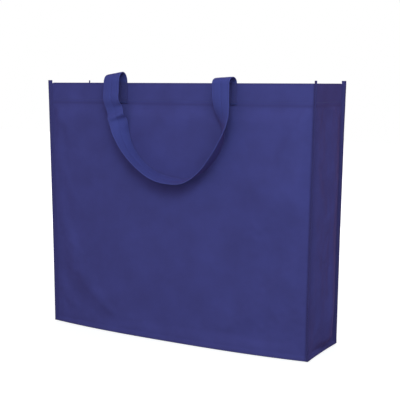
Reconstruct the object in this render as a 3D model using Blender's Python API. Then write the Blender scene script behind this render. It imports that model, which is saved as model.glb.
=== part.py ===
"""Non-woven shopping bag: four walls and a bottom sewn edge to edge, with two strap handles.

Every panel is one sheet of cloth. Its seam allowances are turned outwards, so that two panels
meet as a fin along each seam, and each wall is folded inwards at the mouth as a hem. The straps
are sewn flat on the outside of the hem, rise over the mouth and hang down in a loop.

Metres, +Z up. The origin is the middle of the bottom, on the ground, and the front faces -Y.
"""

import math

import bmesh
import bpy
from mathutils import Vector

# Body of the bag, measured from seam to seam
BAG_WIDTH = 0.398
BAG_DEPTH = 0.090
BAG_HEIGHT = 0.350
MOUTH_FLARE = 0.005
FLARE_POWER = 1.4

# Cloth, seams and hem
CLOTH_THICKNESS = 0.0005
SEWN_GAP = 0.0003
SEAM_ALLOWANCE = 0.0055
GROUND_CLEARANCE = 0.0004
HEM_DEPTH = 0.028
HEM_END_INSET = 0.003
HEM_FOLD_STEPS = 4
TAB_RISE = 0.0035

# How far the walls stand out between their seams
FRONT_BASE_BOW = 0.012
BACK_BASE_BOW = 0.008
SIDE_BASE_BOW = -0.001
FRONT_SWELL = 0.0015
BACK_SWELL = 0.003
SIDE_SWELL = 0.005
BOW_FADE_POWER = 2.2
BOW_ROUNDNESS = 2.6
BOTTOM_MARGIN = 0.016

# Steps of the sheets
WALL_ROWS = 9
WIDE_COLUMNS = 12
NARROW_COLUMNS = 6

# Straps
STRAP_WIDTH = 0.025
STRAP_THICKNESS = 0.0014
STRAP_EDGE = 0.0003
STRAP_GROOVE_WIDTH = 0.0012
STRAP_GROOVE_DEPTH = 0.0004
STRAP_END_CLEARANCE = 0.0005
LOOP_CLEARANCE = 0.0024
UPRIGHT = 0.000001
ARCH_STEPS = 6
LOOP_STEPS = 3

# Front handle
FRONT_REACH = 0.0845
FRONT_STAND = 0.0205
FRONT_CREST_START = 0.000
FRONT_CREST_RISES = (0.0125, 0.0070)
FRONT_DROP = 0.129

# Rear handle
REAR_REACH = 0.0845
REAR_STAND = 0.0028
REAR_CREST_START = -0.0036
REAR_CREST_RISES = (0.0020, 0.0020)
REAR_DROP = 0.134

# Loops of the straps: place across as a share of the reach, fall below the mouth as a share
# of the drop, distance of the strap's middle from its sewn part as a share of what it has where
# it hangs edge on, and turn of its width out of the wall's plane in degrees
FRONT_LOOP = (
    (-1.000, 0.080, 1.42, 0.0),
    (-1.000, 0.160, 1.49, 0.0),
    (-0.985, 0.240, 1.41, 0.0),
    (-0.948, 0.320, 1.15, 10.0),
    (-0.915, 0.420, 0.98, 36.0),
    (-0.860, 0.550, 0.97, 62.0),
    (-0.720, 0.715, 0.97, 78.0),
    (-0.480, 0.865, 0.99, 82.0),
    (-0.200, 0.965, 1.00, 78.0),
    (0.090, 1.000, 1.00, 76.0),
    (0.370, 0.985, 1.00, 78.0),
    (0.640, 0.880, 1.00, 84.0),
    (0.860, 0.710, 1.00, 86.0),
    (0.985, 0.545, 1.00, 74.0),
    (1.015, 0.400, 1.04, 44.0),
    (1.008, 0.260, 1.24, 16.0),
    (1.000, 0.140, 1.36, 3.0),
)
REAR_LOOP = (
    (-1.000, 0.120, 0.22, 0.0),
    (-0.998, 0.230, 0.35, 4.0),
    (-0.985, 0.350, 0.64, 24.0),
    (-0.935, 0.480, 0.84, 46.0),
    (-0.830, 0.640, 0.91, 58.0),
    (-0.600, 0.830, 0.98, 62.0),
    (-0.260, 0.970, 1.01, 62.0),
    (0.040, 1.000, 1.01, 62.0),
    (0.330, 0.955, 1.01, 62.0),
    (0.640, 0.800, 0.98, 62.0),
    (0.850, 0.610, 0.91, 58.0),
    (0.945, 0.450, 0.82, 44.0),
    (0.990, 0.330, 0.59, 22.0),
    (1.000, 0.220, 0.35, 4.0),
    (1.000, 0.120, 0.22, 0.0),
)

# Colours
CLOTH_COLOUR = (0.050, 0.056, 0.215, 1.0)
STRAP_COLOUR = (0.054, 0.064, 0.240, 1.0)
CLOTH_ROUGHNESS = 0.82

# Worked out from the sizes above
HALF_WIDTH = BAG_WIDTH / 2
HALF_DEPTH = BAG_DEPTH / 2
DIAGONAL = math.sqrt(0.5)
SHEET_OFFSET = (SEWN_GAP + CLOTH_THICKNESS) / 2
FOLD_INSET = SHEET_OFFSET / DIAGONAL
FIN_NEAR = (SEAM_ALLOWANCE - SHEET_OFFSET) * DIAGONAL
FIN_FAR = (SEAM_ALLOWANCE + SHEET_OFFSET) * DIAGONAL
SEAM_HEIGHT = FIN_FAR + CLOTH_THICKNESS * DIAGONAL + GROUND_CLEARANCE
WALL_FOOT = SEAM_HEIGHT + FOLD_INSET
HEM_EDGE = BAG_HEIGHT - HEM_DEPTH
HEM_RADIUS = SHEET_OFFSET
RIM_START = BAG_HEIGHT - CLOTH_THICKNESS / 2 - HEM_RADIUS
PANEL_FACE = HALF_DEPTH + CLOTH_THICKNESS / 2
SEWN_STRAP = PANEL_FACE + SEWN_GAP + STRAP_THICKNESS / 2
EDGE_ON_STAND = STRAP_WIDTH / 2 + LOOP_CLEARANCE


def clear_scene():
    """Remove every object, so that the model starts from an empty scene."""
    for thing in list(bpy.data.objects):
        bpy.data.objects.remove(thing, do_unlink=True)


def cloth_material(name, colour):
    """A matt spun cloth of one colour."""
    material = bpy.data.materials.new(name)
    material.use_nodes = True
    shader = material.node_tree.nodes["Principled BSDF"]
    shader.inputs["Base Color"].default_value = colour
    shader.inputs["Roughness"].default_value = CLOTH_ROUGHNESS
    shader.inputs["Metallic"].default_value = 0.0
    material.diffuse_color = colour
    return material


def half_width_at(height):
    """Half of the bag's width at a height; it widens a little towards the mouth."""
    share = min(max(height / BAG_HEIGHT, 0.0), 1.0)
    return HALF_WIDTH + MOUTH_FLARE * share ** FLARE_POWER


def half_depth_at(height):
    """Half of the bag's depth, the same at every height."""
    return HALF_DEPTH


def stand_out(across, height, base_bow, swell):
    """How far a wall stands out from its seams' plane, across being -1 to 1 between them."""
    rise = min(max((height - SEAM_HEIGHT) / (HEM_EDGE - SEAM_HEIGHT), 0.0), 1.0)
    fullness = base_bow * (1 - rise) ** BOW_FADE_POWER + swell * 4 * rise * (1 - rise)
    return fullness * (1 - abs(across) ** BOW_ROUNDNESS)


def places_across(half_span, columns):
    """Places across a sheet: its fold, the end of the hem, even steps, and the same again."""
    fold = half_span - FOLD_INSET
    hem_end = half_span - HEM_END_INSET
    steps = [hem_end * (2 * step / columns - 1) for step in range(columns + 1)]
    return [-fold] + steps + [fold]


def heights_of_wall():
    """Heights of a wall's rows, from its foot to the start of the rim's fold."""
    rows = [WALL_FOOT + (HEM_EDGE - WALL_FOOT) * row / WALL_ROWS for row in range(WALL_ROWS + 1)]
    return rows + [RIM_START]


def join_rows(mesh, lower, upper):
    """Fill the faces between two rows, wherever both have the same two columns."""
    for column in lower:
        corners = (column, column + 1)
        if all(corner in lower and corner in upper for corner in corners):
            mesh.faces.new((lower[column], lower[column + 1], upper[column + 1], upper[column]))


def mitre(mesh, outer, inner):
    """Crease the allowance's corner from its tip to the corner of the panel."""
    bmesh.ops.connect_vert_pair(mesh, verts=[outer, inner])


def sheet_object(name, mesh, material, turn):
    """Make a sheet's middle surface an object, turned about the bag's axis and given its cloth."""
    data = bpy.data.meshes.new(name)
    mesh.to_mesh(data)
    mesh.free()
    sheet = bpy.data.objects.new(name, data)
    bpy.context.scene.collection.objects.link(sheet)
    sheet.rotation_euler = (0.0, 0.0, math.radians(turn))
    data.materials.append(material)
    cloth = sheet.modifiers.new("cloth", "SOLIDIFY")
    cloth.thickness = CLOTH_THICKNESS
    cloth.offset = 0.0
    cloth.use_even_offset = True
    cloth.use_quality_normals = True
    return sheet


def make_wall(name, turn, span_at, distance_at, base_bow, swell, columns, material):
    """One wall as it faces -Y, with fins at both sides and below, corner tabs and its hem."""
    mesh = bmesh.new()
    last = columns + 4
    heights = heights_of_wall()

    def row_at(height, chosen, shift=0.0):
        """A row of points on the wall at a height, moved inwards by the shift."""
        span = span_at(height)
        distance = distance_at(height)
        fold = span - FOLD_INSET
        row = {}
        for column, place in enumerate(places_across(span, columns), start=1):
            if column in chosen:
                out = distance + stand_out(place / fold, height, base_bow, swell) - shift
                row[column] = mesh.verts.new((place, -out, height))
        for column, side in ((0, -1), (last, 1)):
            if column in chosen:
                row[column] = mesh.verts.new((side * (span + FIN_NEAR), -distance - FIN_FAR, height))
        return row

    every = range(last + 1)
    fin = row_at(WALL_FOOT, every)
    for column, point in fin.items():
        if 0 < column < last:
            point.co.y -= FIN_FAR
        point.co.z = SEAM_HEIGHT - FIN_NEAR
    rows = [row_at(height, every) for height in heights]
    join_rows(mesh, fin, rows[0])
    for lower, upper in zip(rows, rows[1:]):
        join_rows(mesh, lower, upper)
    mitre(mesh, fin[0], rows[0][1])
    mitre(mesh, fin[last], rows[0][last - 1])

    tabs = row_at(BAG_HEIGHT + TAB_RISE, (0, 1, last - 1, last))
    join_rows(mesh, rows[-1], tabs)

    hemmed = range(2, last - 1)
    below = rows[-1]
    for step in range(1, HEM_FOLD_STEPS + 1):
        angle = math.pi * step / HEM_FOLD_STEPS
        folded = row_at(RIM_START, hemmed, HEM_RADIUS * (1 - math.cos(angle)))
        for point in folded.values():
            point.co.z += HEM_RADIUS * math.sin(angle)
        join_rows(mesh, below, folded)
        below = folded
    join_rows(mesh, below, row_at(HEM_EDGE, hemmed, 2 * HEM_RADIUS))
    return sheet_object(name, mesh, material, turn)


def make_bottom(name, material):
    """The bottom: flat on the ground, rising at its margins to the seams, with a fin all round."""
    mesh = bmesh.new()
    fold_x = HALF_WIDTH - FOLD_INSET
    fold_y = HALF_DEPTH - FOLD_INSET
    last_x = WIDE_COLUMNS + 4
    last_y = NARROW_COLUMNS + 4
    places_x = [-HALF_WIDTH - FIN_NEAR] + places_across(HALF_WIDTH, WIDE_COLUMNS)
    places_x.append(HALF_WIDTH + FIN_NEAR)
    places_y = [-HALF_DEPTH - FIN_NEAR] + places_across(HALF_DEPTH, NARROW_COLUMNS)
    places_y.append(HALF_DEPTH + FIN_NEAR)

    def point_at(column, line):
        """The sheet's point at a column and a line, bowed with the walls that it meets."""
        x = places_x[column]
        y = places_y[line]
        bow_y = FRONT_BASE_BOW if y < 0 else BACK_BASE_BOW
        across_x = min(abs(x) / fold_x, 1.0)
        across_y = min(abs(y) / fold_y, 1.0)
        grown_y = stand_out(across_x, SEAM_HEIGHT, bow_y, 0.0) * across_y
        grown_x = stand_out(across_y, SEAM_HEIGHT, SIDE_BASE_BOW, 0.0) * across_x
        inset = min(fold_x - abs(x), fold_y - abs(y))
        if inset < -FOLD_INSET:
            z = SEAM_HEIGHT - FIN_FAR
        else:
            climb = 1 - min(max(inset, 0.0) / BOTTOM_MARGIN, 1.0)
            z = CLOTH_THICKNESS / 2 + (SEAM_HEIGHT - CLOTH_THICKNESS / 2) * climb ** 2
        return x + math.copysign(1.0, x) * grown_x, y + math.copysign(1.0, y) * grown_y, z

    lines = []
    for line in range(last_y + 1):
        lines.append({column: mesh.verts.new(point_at(column, line)) for column in range(last_x + 1)})
    for lower, upper in zip(lines, lines[1:]):
        join_rows(mesh, lower, upper)
    for line, inner_line in ((0, 1), (last_y, last_y - 1)):
        mitre(mesh, lines[line][0], lines[inner_line][1])
        mitre(mesh, lines[line][last_x], lines[inner_line][last_x - 1])
    return sheet_object(name, mesh, material, 0.0)


def strap_section():
    """Section of a strap, across and through: the cloth's folded edges meet in a fine groove."""
    side = STRAP_WIDTH / 2
    face = STRAP_THICKNESS / 2
    groove = STRAP_GROOVE_WIDTH / 2
    return (
        (-side, face - STRAP_EDGE),
        (-side, STRAP_EDGE - face),
        (STRAP_EDGE - side, -face),
        (-groove, -face),
        (0.0, STRAP_GROOVE_DEPTH - face),
        (groove, -face),
        (side - STRAP_EDGE, -face),
        (side, STRAP_EDGE - face),
        (side, face - STRAP_EDGE),
        (side - STRAP_EDGE, face),
        (STRAP_EDGE - side, face),
    )


def strap_leg(reach, stand, crest_start, crest_rise):
    """Sewn end and arch of a strap, from its cut end up and over to where its loop begins."""
    end = HEM_EDGE + STRAP_END_CLEARANCE
    crest_base = BAG_HEIGHT + crest_start
    stations = [(reach, SEWN_STRAP, end, 0.0), (reach, SEWN_STRAP, (end + crest_base) / 2, 0.0)]
    for step in range(ARCH_STEPS + 1):
        angle = math.pi * step / ARCH_STEPS
        away = SEWN_STRAP + stand / 2 * (1 - math.cos(angle))
        stations.append((reach, away, crest_base + crest_rise * math.sin(angle), 0.0))
    return stations


def between(before, start, end, after, share):
    """Smooth value between start and end, led by the values before and after them."""
    slope_in = (end - before) / 2
    slope_out = (after - start) / 2
    cubic = 2 * (start - end) + slope_in + slope_out
    square = 3 * (end - start) - 2 * slope_in - slope_out
    return ((cubic * share + square) * share + slope_in) * share + start


def strap_stations(reach, stand, crest_start, crest_rises, drop, loop):
    """Stations of a strap from one sewn end to the other: across, away, height and turn."""
    left = strap_leg(-reach, stand, crest_start, crest_rises[0])
    right = strap_leg(reach, stand, crest_start, crest_rises[1])
    right.reverse()
    hanging = [
        (across * reach, SEWN_STRAP + away * EDGE_ON_STAND, BAG_HEIGHT - fall * drop, math.radians(turn))
        for across, fall, away, turn in loop
    ]
    route = [left[-2], left[-1]] + hanging + [right[0], right[1]]
    smooth = []
    for first in range(1, len(route) - 2):
        neighbours = route[first - 1:first + 3]
        for step in range(1 if first == 1 else 0, LOOP_STEPS):
            share = step / LOOP_STEPS
            smooth.append(tuple(between(*values, share) for values in zip(*neighbours)))
    return left + smooth + right


def strap_frame(stations, index):
    """Middle, width direction and outward direction of the strap at one station."""
    middle = Vector((stations[index][0], -stations[index][1], stations[index][2]))
    ahead = stations[min(index + 1, len(stations) - 1)]
    behind = stations[max(index - 1, 0)]
    along = Vector((ahead[0] - behind[0], behind[1] - ahead[1], ahead[2] - behind[2])).normalized()
    if abs(along.x) < UPRIGHT:
        inward = Vector((math.copysign(1.0, -middle.x), 0.0, 0.0))
    else:
        inward = Vector((-along.z, 0.0, along.x)).normalized()
    turn = stations[index][3]
    width = inward * math.cos(turn) + Vector((0.0, 1.0, 0.0)) * math.sin(turn)
    width = (width - along * width.dot(along)).normalized()
    return middle, width, width.cross(along)


def make_handle(name, turn, stations, material):
    """One strap as a closed band along its stations."""
    mesh = bmesh.new()
    rings = []
    for index in range(len(stations)):
        middle, width, outward = strap_frame(stations, index)
        ring = [mesh.verts.new(middle + width * u + outward * v) for u, v in strap_section()]
        rings.append(ring)
    count = len(rings[0])
    for start, end in zip(rings, rings[1:]):
        for corner in range(count):
            following = (corner + 1) % count
            mesh.faces.new((start[corner], start[following], end[following], end[corner]))
    mesh.faces.new(reversed(rings[0]))
    mesh.faces.new(rings[-1])
    bmesh.ops.recalc_face_normals(mesh, faces=mesh.faces)
    data = bpy.data.meshes.new(name)
    mesh.to_mesh(data)
    mesh.free()
    data.materials.append(material)
    handle = bpy.data.objects.new(name, data)
    handle.rotation_euler = (0.0, 0.0, math.radians(turn))
    bpy.context.scene.collection.objects.link(handle)
    return handle


def build_bag():
    """Build every piece of the bag in its place."""
    cloth = cloth_material("non_woven_cloth", CLOTH_COLOUR)
    webbing = cloth_material("strap_cloth", STRAP_COLOUR)
    wide = (half_width_at, half_depth_at)
    narrow = (half_depth_at, half_width_at)
    make_wall("front_panel", 0.0, *wide, FRONT_BASE_BOW, FRONT_SWELL, WIDE_COLUMNS, cloth)
    make_wall("back_panel", 180.0, *wide, BACK_BASE_BOW, BACK_SWELL, WIDE_COLUMNS, cloth)
    make_wall("right_gusset", 90.0, *narrow, SIDE_BASE_BOW, SIDE_SWELL, NARROW_COLUMNS, cloth)
    make_wall("left_gusset", -90.0, *narrow, SIDE_BASE_BOW, SIDE_SWELL, NARROW_COLUMNS, cloth)
    make_bottom("bottom_panel", cloth)
    front = strap_stations(
        FRONT_REACH, FRONT_STAND, FRONT_CREST_START, FRONT_CREST_RISES, FRONT_DROP, FRONT_LOOP)
    make_handle("front_handle", 0.0, front, webbing)
    rear = strap_stations(
        REAR_REACH, REAR_STAND, REAR_CREST_START, REAR_CREST_RISES, REAR_DROP, REAR_LOOP)
    make_handle("rear_handle", 180.0, rear, webbing)


clear_scene()
build_bag()
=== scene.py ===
"""Dress the non-woven bag: wrinkled walls, sewn fins, hem, folded straps and their stitching.

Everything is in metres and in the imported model's own frame: +Z up, the front faces -Y.
"""
import logging
import math
from collections.abc import Iterable
from dataclasses import dataclass, field
from enum import Enum

import bpy
import numpy as np
from mathutils import Matrix, Vector, noise


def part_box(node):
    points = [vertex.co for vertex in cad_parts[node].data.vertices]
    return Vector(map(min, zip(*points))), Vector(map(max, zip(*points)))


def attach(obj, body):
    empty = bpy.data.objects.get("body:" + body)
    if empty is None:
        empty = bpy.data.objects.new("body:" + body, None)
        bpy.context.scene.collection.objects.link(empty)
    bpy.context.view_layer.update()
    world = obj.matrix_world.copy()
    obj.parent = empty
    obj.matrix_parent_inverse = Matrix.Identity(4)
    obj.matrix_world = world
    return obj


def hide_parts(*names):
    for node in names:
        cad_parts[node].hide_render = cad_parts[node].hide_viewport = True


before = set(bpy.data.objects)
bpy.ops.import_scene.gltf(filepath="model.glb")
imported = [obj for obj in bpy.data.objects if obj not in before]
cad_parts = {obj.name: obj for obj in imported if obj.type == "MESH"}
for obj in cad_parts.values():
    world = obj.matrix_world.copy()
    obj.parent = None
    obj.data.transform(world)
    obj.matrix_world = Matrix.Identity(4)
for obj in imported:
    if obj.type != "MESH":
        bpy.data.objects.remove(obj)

LOG = logging.getLogger("bag")
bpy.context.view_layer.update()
ROOT_BODY = "root"
DIAGONAL = math.sqrt(0.5)
TINY = 1e-6
STILL = 1e-9
Grid = np.ndarray
Triple = tuple[float, float, float]
Inputs = dict[str | int, object]
# A line to sew along: points on the cloth's surface, each with the way out of the cloth
StitchLine = list[tuple[Vector, Vector]]


class Wall(Enum):
    """The four walls in order round the bag, each with its CAD node and its turn in degrees."""

    FRONT = ("front_panel", 0.0)
    RIGHT = ("right_gusset", 90.0)
    BACK = ("back_panel", 180.0)
    LEFT = ("left_gusset", -90.0)

    @property
    def node(self) -> str:
        """Name of the CAD node that the wall stands for."""
        return self.value[0]

    @property
    def spin(self) -> Matrix:
        """Turn of the wall about the vertical axis."""
        return Matrix.Rotation(math.radians(self.value[1]), 3, "Z")

    @property
    def corner(self) -> int:
        """Number of the corner seam at the wall's right edge, as it is looked at."""
        return list(Wall).index(self)

    @property
    def wide(self) -> bool:
        """Whether this is one of the two large walls."""
        return self in (Wall.FRONT, Wall.BACK)


class Face(Enum):
    """Side of a sheet on which a row of stitches shows."""

    OUTER = 1.0
    INNER = -1.0


class SeamShade(float, Enum):
    """Painted shade in the places where the cloth is folded or sewn: how far its colour is darkened there."""

    NOWHERE = 0.0
    FOOT = -0.3
    HEM = -0.6
    FOLD = -0.8
    FIN = -0.9


class Nodes:
    """A node tree that is being built. A node given as a value stands for its first output."""

    def __init__(self, tree: bpy.types.NodeTree) -> None:
        """Keep the tree."""
        self.tree = tree

    @classmethod
    def group(cls, name: str, kind: str, inputs: tuple, outputs: tuple) -> "Nodes":
        """Start a node group.

        Args:
            name: name of the group.
            kind: Blender's name of its kind of tree.
            inputs: name and kind of each input, with its value where it has one.
            outputs: name and kind of each output.

        Returns:
            The group, which has no nodes yet.
        """
        tree = bpy.data.node_groups.new(name, kind)
        for way, sockets in (("INPUT", inputs), ("OUTPUT", outputs)):
            for label, socket, *value in sockets:
                made = tree.interface.new_socket(label, in_out=way, socket_type=f"NodeSocket{socket}")
                if value:
                    made.default_value = value[0]
        return cls(tree)

    @staticmethod
    def fill(node: bpy.types.Node, inputs: Inputs) -> None:
        """Fill a node's inputs.

        Args:
            node: the node.
            inputs: numbers, colours, sockets or nodes, by the input's name or number.
        """
        for name, value in inputs.items():
            socket = node.inputs[name]
            value = value.outputs[0] if isinstance(value, bpy.types.Node) else value
            if isinstance(value, bpy.types.NodeSocket):
                socket.id_data.links.new(value, socket)
            else:
                socket.default_value = (*value, 1.0) if socket.type == "RGBA" else value

    def add(self, kind: str, inputs: Inputs | None = None, **settings: object) -> bpy.types.Node:
        """Add a node.

        Args:
            kind: Blender's name of the node.
            inputs: what its inputs are filled with, by name or number.
            settings: the node's own settings.

        Returns:
            The node.
        """
        node = self.tree.nodes.new(kind)
        for name, value in settings.items():
            setattr(node, name, value)
        self.fill(node, inputs or {})
        return node

    def math(self, operation: str, *values: object) -> bpy.types.Node:
        """Add a Math node with its inputs filled in order."""
        return self.add("ShaderNodeMath", dict(enumerate(values)), operation=operation)

    def mix(self, share: object, first: object, second: object) -> bpy.types.NodeSocket:
        """Mix two colours by the share of the second one."""
        return self.add("ShaderNodeMix", {0: share, 6: first, 7: second}, data_type="RGBA").outputs[2]


class ClothPattern:
    """Shader node group of the spun-bonded cloth: fibres pressed together at a grid of points."""

    NAME = "spun_bonded_cloth"
    INPUTS = (
        ("Vector", "Vector", (0.0, 0.0, 0.0)),
        ("Pitch", "Float", 0.0013),
        ("Fibre Scale", "Float", 2600.0),
        ("Cloud Scale", "Float", 26.0),
        ("Bond Depth", "Float", 1.0),
        ("Fibre Depth", "Float", 0.35),
    )
    OUTPUTS = (("Height", "Float"), ("Bond", "Float"), ("Cloud", "Float"))
    BOND_RANGE = {"From Min": 0.25, "From Max": 0.75}
    FIBRE_STRETCHES = ((1.0, 0.12, 1.0), (0.12, 1.0, 1.0))
    FIBRE_TURN = (0.0, 0.0, 0.5)
    FIBRE_DETAIL = 2.0
    CLOUD_LOOK = {"Detail": 4.0, "Roughness": 0.55}

    def tree(self) -> bpy.types.NodeTree:
        """Return the group, which is built the first time."""
        made = bpy.data.node_groups.get(self.NAME)
        return made if made else self._build()

    def _build(self) -> bpy.types.NodeTree:
        """Build the group.

        Returns:
            The new node tree.
        """
        nodes = Nodes.group(self.NAME, "ShaderNodeTree", self.INPUTS, self.OUTPUTS)
        given = nodes.add("NodeGroupInput").outputs
        parts = nodes.add("ShaderNodeSeparateXYZ", {0: given["Vector"]})
        waves = []
        for axis in (0, 1):
            turns = nodes.math("DIVIDE", parts.outputs[axis], given["Pitch"])
            waves.append(nodes.math("COSINE", nodes.math("MULTIPLY", turns, math.tau)))
        checker = {"Value": nodes.math("MULTIPLY", *waves), **self.BOND_RANGE}
        point = nodes.add("ShaderNodeMapRange", checker, interpolation_type="SMOOTHSTEP")
        fibres = []
        for stretch in self.FIBRE_STRETCHES:
            along = nodes.add("ShaderNodeMapping", {
                "Vector": given["Vector"], "Scale": stretch, "Rotation": self.FIBRE_TURN})
            fibres.append(nodes.add("ShaderNodeTexNoise", {
                "Vector": along, "Scale": given["Fibre Scale"],
                "Detail": self.FIBRE_DETAIL}).outputs["Fac"])
        cloud = nodes.add("ShaderNodeTexNoise", {
            "Vector": given["Vector"], "Scale": given["Cloud Scale"], **self.CLOUD_LOOK})
        pressed = nodes.math("MULTIPLY", point, given["Bond Depth"])
        raised = nodes.math("MULTIPLY", nodes.math("MAXIMUM", *fibres), given["Fibre Depth"])
        nodes.add("NodeGroupOutput", {
            "Height": nodes.math("SUBTRACT", raised, pressed), "Bond": point, "Cloud": cloud.outputs["Fac"]})
        return nodes.tree


@dataclass(frozen=True)
class Finish:
    """What every finish has: a name, and a material that is built once."""

    name: str

    def material(self) -> bpy.types.Material:
        """Build the finish's material, or return it if it is already there.

        Returns:
            The material.
        """
        made = bpy.data.materials.get(self.name)
        if made is None:
            made = bpy.data.materials.new(self.name)
            made.use_nodes = True
            self._dress(Nodes(made.node_tree), made.node_tree.nodes["Principled BSDF"])
        return made

    def _dress(self, nodes: Nodes, shader: bpy.types.Node) -> None:
        """Build the material's nodes round its Principled shader.

        Args:
            nodes: the material's node tree.
            shader: its Principled shader.
        """
        raise NotImplementedError


@dataclass(frozen=True)
class ClothFinish(Finish):
    """Finish of a piece of cloth, from the painted shade on its folds, seams and sewn ends to its worn edges.
    """

    slot: str
    deep: Triple
    plain: Triple
    worn: Triple
    # the pressed colour is painted shade, laid on the folds, fins, hem edges, foot and the strap's sewn ends
    pressed: Triple
    roughness: tuple[float, float] = (0.86, 0.66)
    sheen: float = 0.04
    sheen_roughness: float = 0.5
    sheen_tint: Triple = (1.0, 0.25, 0.40)
    specular: float = 0.02
    cloud_range: tuple[float, float] = (0.3, 0.7)
    bond_tint: float = 0.18
    bump: float = 0.35
    bump_distance: float = 0.00012
    wear: float = 0.35

    def _dress(self, nodes: Nodes, shader: bpy.types.Node) -> None:
        """Build the material's nodes round its Principled shader.

        Args:
            nodes: the material's node tree.
            shader: its Principled shader.
        """
        laid = nodes.add("ShaderNodeUVMap", uv_map=SheetMesh.UV_NAME)
        web = nodes.add("ShaderNodeGroup", {"Vector": laid}, node_tree=ClothPattern().tree()).outputs
        low, high = self.cloud_range
        clouded = nodes.add("ShaderNodeMapRange", {"Value": web["Cloud"], "From Min": low, "From Max": high})
        edges = nodes.add("ShaderNodeAttribute", attribute_name=SheetMesh.WEAR_AND_SHADE_NAME).outputs["Fac"]
        colour = nodes.mix(clouded, self.deep, self.plain)
        colour = nodes.mix(nodes.math("MULTIPLY", edges, self.wear), colour, self.worn)
        # painted shade: where the attribute is below 0 the colour is darkened towards the pressed colour
        colour = nodes.mix(nodes.math("MULTIPLY", edges, -1.0), colour, self.pressed)
        colour = nodes.mix(nodes.math("MULTIPLY", web["Bond"], self.bond_tint), colour, self.deep)
        low, high = self.roughness
        gloss = nodes.add("ShaderNodeMapRange", {"Value": web["Bond"], "To Min": low, "To Max": high})
        relief = nodes.add("ShaderNodeBump", {
            "Strength": self.bump, "Distance": self.bump_distance, "Height": web["Height"]})
        nodes.fill(shader, {
            "Base Color": colour, "Roughness": gloss, "Normal": relief, "Sheen Weight": self.sheen,
            "Sheen Roughness": self.sheen_roughness, "Sheen Tint": self.sheen_tint,
            "Specular IOR Level": self.specular})


@dataclass(frozen=True)
class ThreadFinish(Finish):
    """Finish of the sewing thread: twisted polyester, a little darker than the cloth."""

    name: str = "sewing_thread"
    colour: Triple = (0.048, 0.050, 0.185)
    dark: Triple = (0.034, 0.034, 0.125)
    twist: float = 5200.0
    twist_unevenness: float = 1.5
    roughness: float = 0.55
    specular: float = 0.3

    def _dress(self, nodes: Nodes, shader: bpy.types.Node) -> None:
        """Build the material's nodes round its Principled shader.

        Args:
            nodes: the material's node tree.
            shader: its Principled shader.
        """
        place = nodes.add("ShaderNodeTexCoord").outputs["Object"]
        twist = nodes.add("ShaderNodeTexWave", {
            "Vector": place, "Scale": self.twist, "Distortion": self.twist_unevenness},
            bands_direction="DIAGONAL").outputs["Fac"]
        nodes.fill(shader, {
            "Base Color": nodes.mix(twist, self.dark, self.colour), "Roughness": self.roughness,
            "Specular IOR Level": self.specular})


def add_object(name: str, data: bpy.types.ID) -> bpy.types.Object:
    """Put data into the scene as an object.

    Args:
        name: name of the object.
        data: its mesh, light or camera.

    Returns:
        The object.
    """
    made = bpy.data.objects.new(name, data)
    bpy.context.scene.collection.objects.link(made)
    return made


def plain(piece: bpy.types.Object) -> bpy.types.Object:
    """Turn what a piece's modifiers give into its own mesh, and remove them.

    Args:
        piece: the piece.

    Returns:
        The same piece.
    """
    if piece.modifiers:
        graph = bpy.context.evaluated_depsgraph_get()
        final = bpy.data.meshes.new_from_object(piece.evaluated_get(graph), depsgraph=graph)
        piece.modifiers.clear()
        spare = piece.data
        piece.data = final
        bpy.data.meshes.remove(spare)
        piece.data.name = piece.name
    return piece


def declare(piece: bpy.types.Object, slot: str, *nodes: str) -> None:
    """Say which body a piece rides on, and hide the CAD nodes that it stands for.

    Args:
        piece: the piece.
        slot: its finish slot; not used.
        nodes: names of the CAD nodes that it replaces.
    """
    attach(piece, ROOT_BODY)
    if nodes:
        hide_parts(*nodes)


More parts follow.
